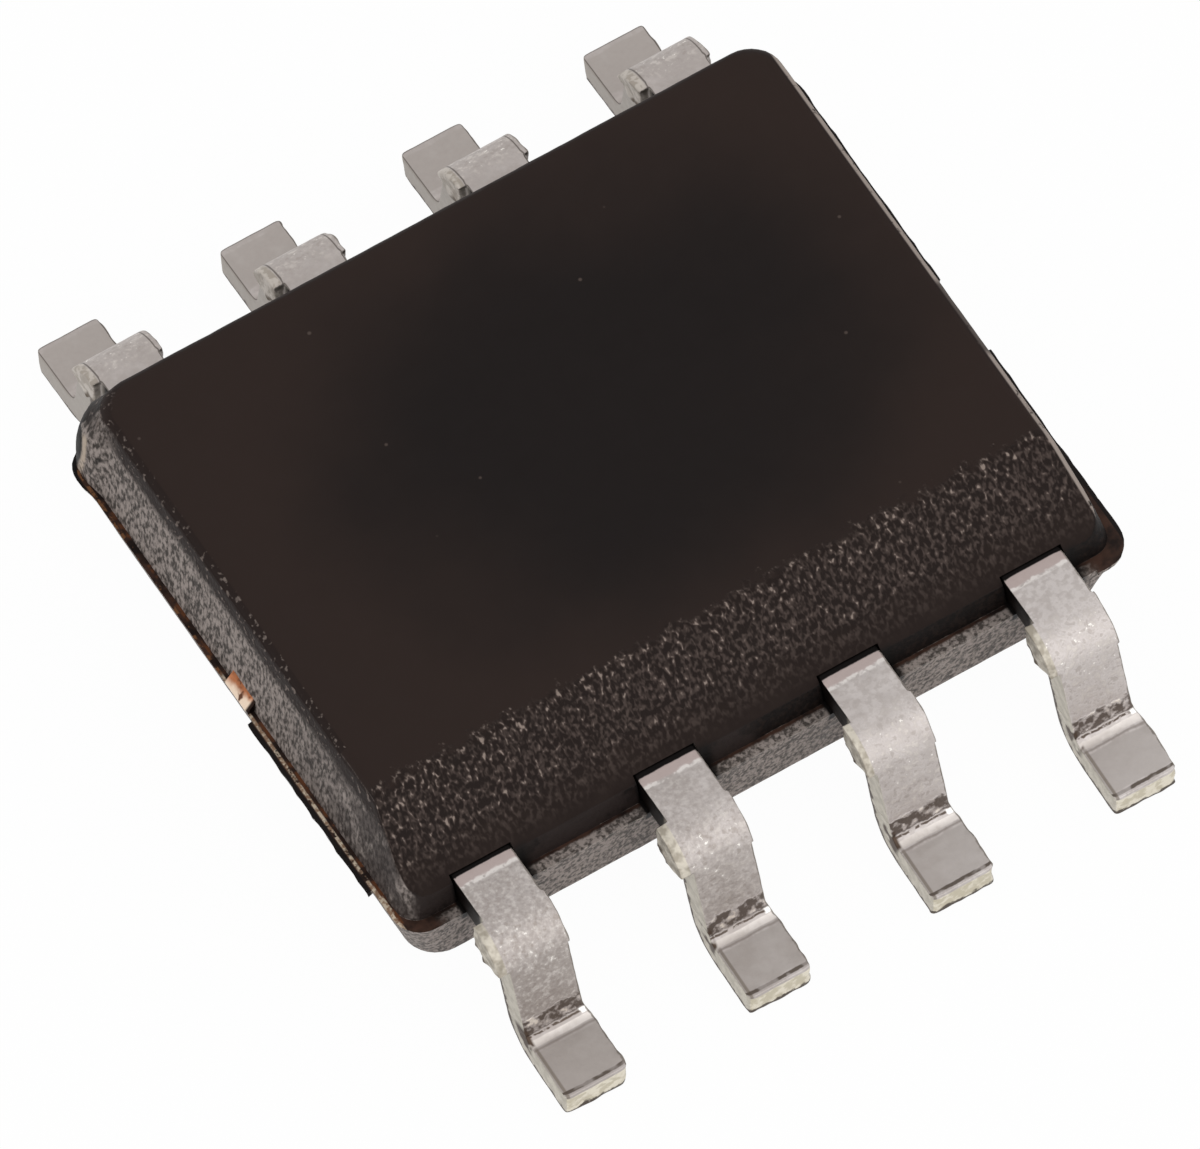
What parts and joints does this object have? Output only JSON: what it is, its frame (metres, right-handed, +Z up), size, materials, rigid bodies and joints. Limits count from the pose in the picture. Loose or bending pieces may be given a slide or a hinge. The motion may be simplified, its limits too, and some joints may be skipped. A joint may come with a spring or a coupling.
{
  "type": "integrated circuit in a small-outline package",
  "caption": "Small-outline surface-mount chip: a flat black moulded body with a bevelled edge and two rows of gull-wing leads, holding a wired die.",
  "frame": {"origin": "middle of the seating plane, under the middle of the body, level with the lowest edge of the toes", "axes": "+X along the two rows of leads, from lead 1 to lead 4; +Y across the body, from the bevelled side with leads 1 to 4 to the other side; +Z up from the board"},
  "size_m": [0.005, 0.0062, 0.0015],
  "materials": {
    "resin": "matt black mould compound, smooth on the flat top, spark-eroded grain on the bevel and walls",
    "tin_plate": "matt tin plating, fine grained, brighter where the forming tool rubbed it",
    "bare_copper": "bare copper alloy strip, bright where it was sheared",
    "silver_glue": "cured silver-filled epoxy glue, matt grey",
    "silicon": "polished silicon with a plain passivated surface",
    "gold_wire": "drawn gold wire, bright"
  },
  "bodies": {
    "root": {"mould_body": "resin", "lead_1": "tin_plate", "lead_2": "tin_plate", "lead_3": "tin_plate", "lead_4": "tin_plate", "lead_5": "tin_plate", "lead_6": "tin_plate", "lead_7": "tin_plate", "lead_8": "tin_plate", "die_pad": "bare_copper", "die_glue": "silver_glue", "silicon_die": "silicon", "bond_wire_1": "gold_wire", "bond_wire_2": "gold_wire", "bond_wire_3": "gold_wire", "bond_wire_4": "gold_wire", "bond_wire_5": "gold_wire", "bond_wire_6": "gold_wire", "bond_wire_7": "gold_wire", "bond_wire_8": "gold_wire"}
  },
  "joints": []
}
